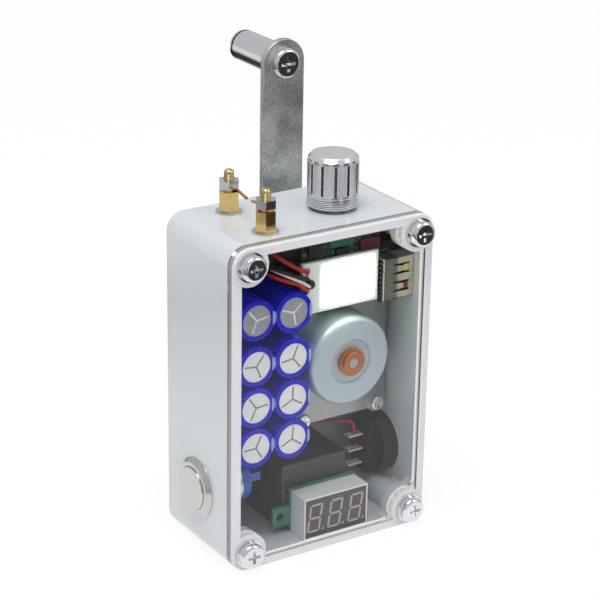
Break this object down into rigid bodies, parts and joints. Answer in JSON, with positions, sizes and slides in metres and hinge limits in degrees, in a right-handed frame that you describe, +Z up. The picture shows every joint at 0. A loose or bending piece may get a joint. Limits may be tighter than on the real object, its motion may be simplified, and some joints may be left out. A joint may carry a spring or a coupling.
{
  "type": "hand crank generator",
  "caption": "Clear-lidded project box with a hand crank geared to a small generator, capacitors, lamp, USB socket, voltmeter, knob, switch and spark posts.",
  "frame": {"origin": "middle of the box in plan, on the face it stands on", "axes": "+Z up, +X to the right as the clear lid is seen, +Y from the lid back towards the crank"},
  "size_m": [0.0737, 0.072, 0.144],
  "materials": {
    "case_abs": "glossy light grey moulded ABS",
    "clear_cover": "clear polycarbonate, polished",
    "gasket_rubber": "soft translucent grey sealing cord",
    "bright_screw": "bright zinc plated steel",
    "nickel": "nickel plated, bright",
    "copper": "bare copper wire",
    "can_aluminium": "bare drawn aluminium, satin",
    "sleeve_blue": "blue shrink sleeve with a pale stripe",
    "board_green": "green solder mask with tinned pads",
    "board_dark": "dark glass-epoxy board",
    "led_phosphor": "lit white light-emitting field",
    "usb_steel": "nickel plated folded steel",
    "tongue_plastic": "white moulded insulator",
    "meter_housing": "white moulded display housing",
    "meter_face": "dark display face with three unlit digits",
    "potting_black": "black potting compound in a black shell",
    "switch_black": "black moulded nylon",
    "button_steel": "turned stainless steel",
    "button_blue": "blue moulded contact block",
    "tinned": "tinned copper terminals",
    "spring_steel": "spring steel wire",
    "knob_metal": "bright polished aluminium, grooved",
    "motor_can": "zinc plated deep-drawn can",
    "bronze": "sintered bronze",
    "ferrite": "grey ferrite",
    "shaft_steel": "ground steel",
    "plate_steel": "pressed steel plate, zinc plated",
    "gear_brass": "hobbed brass",
    "arm_steel": "stamped stainless steel strip",
    "handle_metal": "polished aluminium sleeve",
    "post_brass": "polished brass",
    "board_white": "white solder mask with tinned pads",
    "wire_red": "red insulation",
    "wire_black": "black insulation",
    "wire_white": "white insulation"
  },
  "bodies": {
    "case": {"enclosure_body": "case_abs", "clear_lid": "clear_cover", "lid_gasket": "gasket_rubber", "lid_screws": "bright_screw", "lid_washers": "bright_screw", "spark_posts": "post_brass", "spark_post_screws": "bright_screw", "spark_washers": "nickel", "spark_nuts": "nickel", "spark_electrodes": "copper", "capacitor_cans": "can_aluminium", "capacitor_sleeves": "sleeve_blue", "capacitor_board": "board_dark", "led_board": "board_white", "led_array": "led_phosphor", "usb_shell": "usb_steel", "usb_tongue": "tongue_plastic", "usb_board": "board_green", "voltmeter_housing": "meter_housing", "voltmeter_face": "meter_face", "voltmeter_board": "board_green", "boost_module": "potting_black", "switch_body": "switch_black", "switch_terminals": "tinned", "button_barrel": "button_steel", "button_nut": "button_steel", "button_base": "button_blue", "button_terminals": "tinned", "button_spring": "spring_steel", "pot_body": "button_steel", "pot_nut": "nickel", "generator_can": "motor_can", "generator_bushing": "bronze", "generator_magnets": "ferrite", "brush_plate": "board_dark", "gearbox_front_plate": "plate_steel", "gearbox_rear_plate": "plate_steel", "gearbox_pillars": "gear_brass", "gearbox_screws": "bright_screw", "gearbox_spacers": "wire_white", "shaft_bushing": "gear_brass", "red_wires": "wire_red", "black_wire": "wire_black", "white_wire": "wire_white"},
    "crank": {"crank_shaft": "shaft_steel", "crank_arm": "arm_steel", "crank_nut": "nickel", "handle_axle": "bright_screw", "output_gear": "gear_brass"},
    "handle": {"handle_sleeve": "handle_metal"},
    "layshaft": {"layshaft": "shaft_steel", "layshaft_gear": "gear_brass"},
    "rotor": {"generator_shaft": "shaft_steel", "armature": "plate_steel", "commutator": "copper", "motor_pinion": "gear_brass"},
    "knob": {"control_knob": "knob_metal", "pot_shaft": "shaft_steel"},
    "button": {"button_cap": "button_steel"},
    "rocker": {"switch_rocker": "switch_black"}
  },
  "joints": [
    {"name": "crank_turn", "type": "hinge", "parent": "case", "child": "crank", "pos_m": [0.0095, 0.0247, 0.056], "axis": [0, 1, 0], "continuous": true},
    {"name": "handle_spin", "type": "hinge", "parent": "crank", "child": "handle", "pos_m": [0.0095, 0.037, 0.137], "axis": [0, 1, 0], "continuous": true},
    {"name": "layshaft_spin", "type": "hinge", "parent": "case", "child": "layshaft", "pos_m": [0.0095, 0.005, 0.06684], "axis": [0, 1, 0], "continuous": true},
    {"name": "rotor_spin", "type": "hinge", "parent": "case", "child": "rotor", "pos_m": [0.0095, -0.01, 0.056], "axis": [0, 1, 0], "continuous": true},
    {"name": "knob_turn", "type": "hinge", "parent": "case", "child": "knob", "pos_m": [0.01, -0.0015, 0.108], "axis": [0, 0, 1], "range_deg": [-150, 150]},
    {"name": "button_press", "type": "slide", "parent": "case", "child": "button", "axis": [1, 0, 0], "range_m": [0, 0.0012], "stiffness_N_per_m": 800, "springref_m": -0.0015, "deforming": ["button_spring"]},
    {"name": "rocker_tilt", "type": "hinge", "parent": "case", "child": "rocker", "pos_m": [0.033, 0.001, 0.0198], "axis": [0, 1, 0], "range_deg": [0, 18]}
  ],
  "couplings": [
    {"joint": "layshaft_spin", "follows": "crank_turn", "ratio": -3.5},
    {"joint": "rotor_spin", "follows": "crank_turn", "ratio": 12.25}
  ]
}
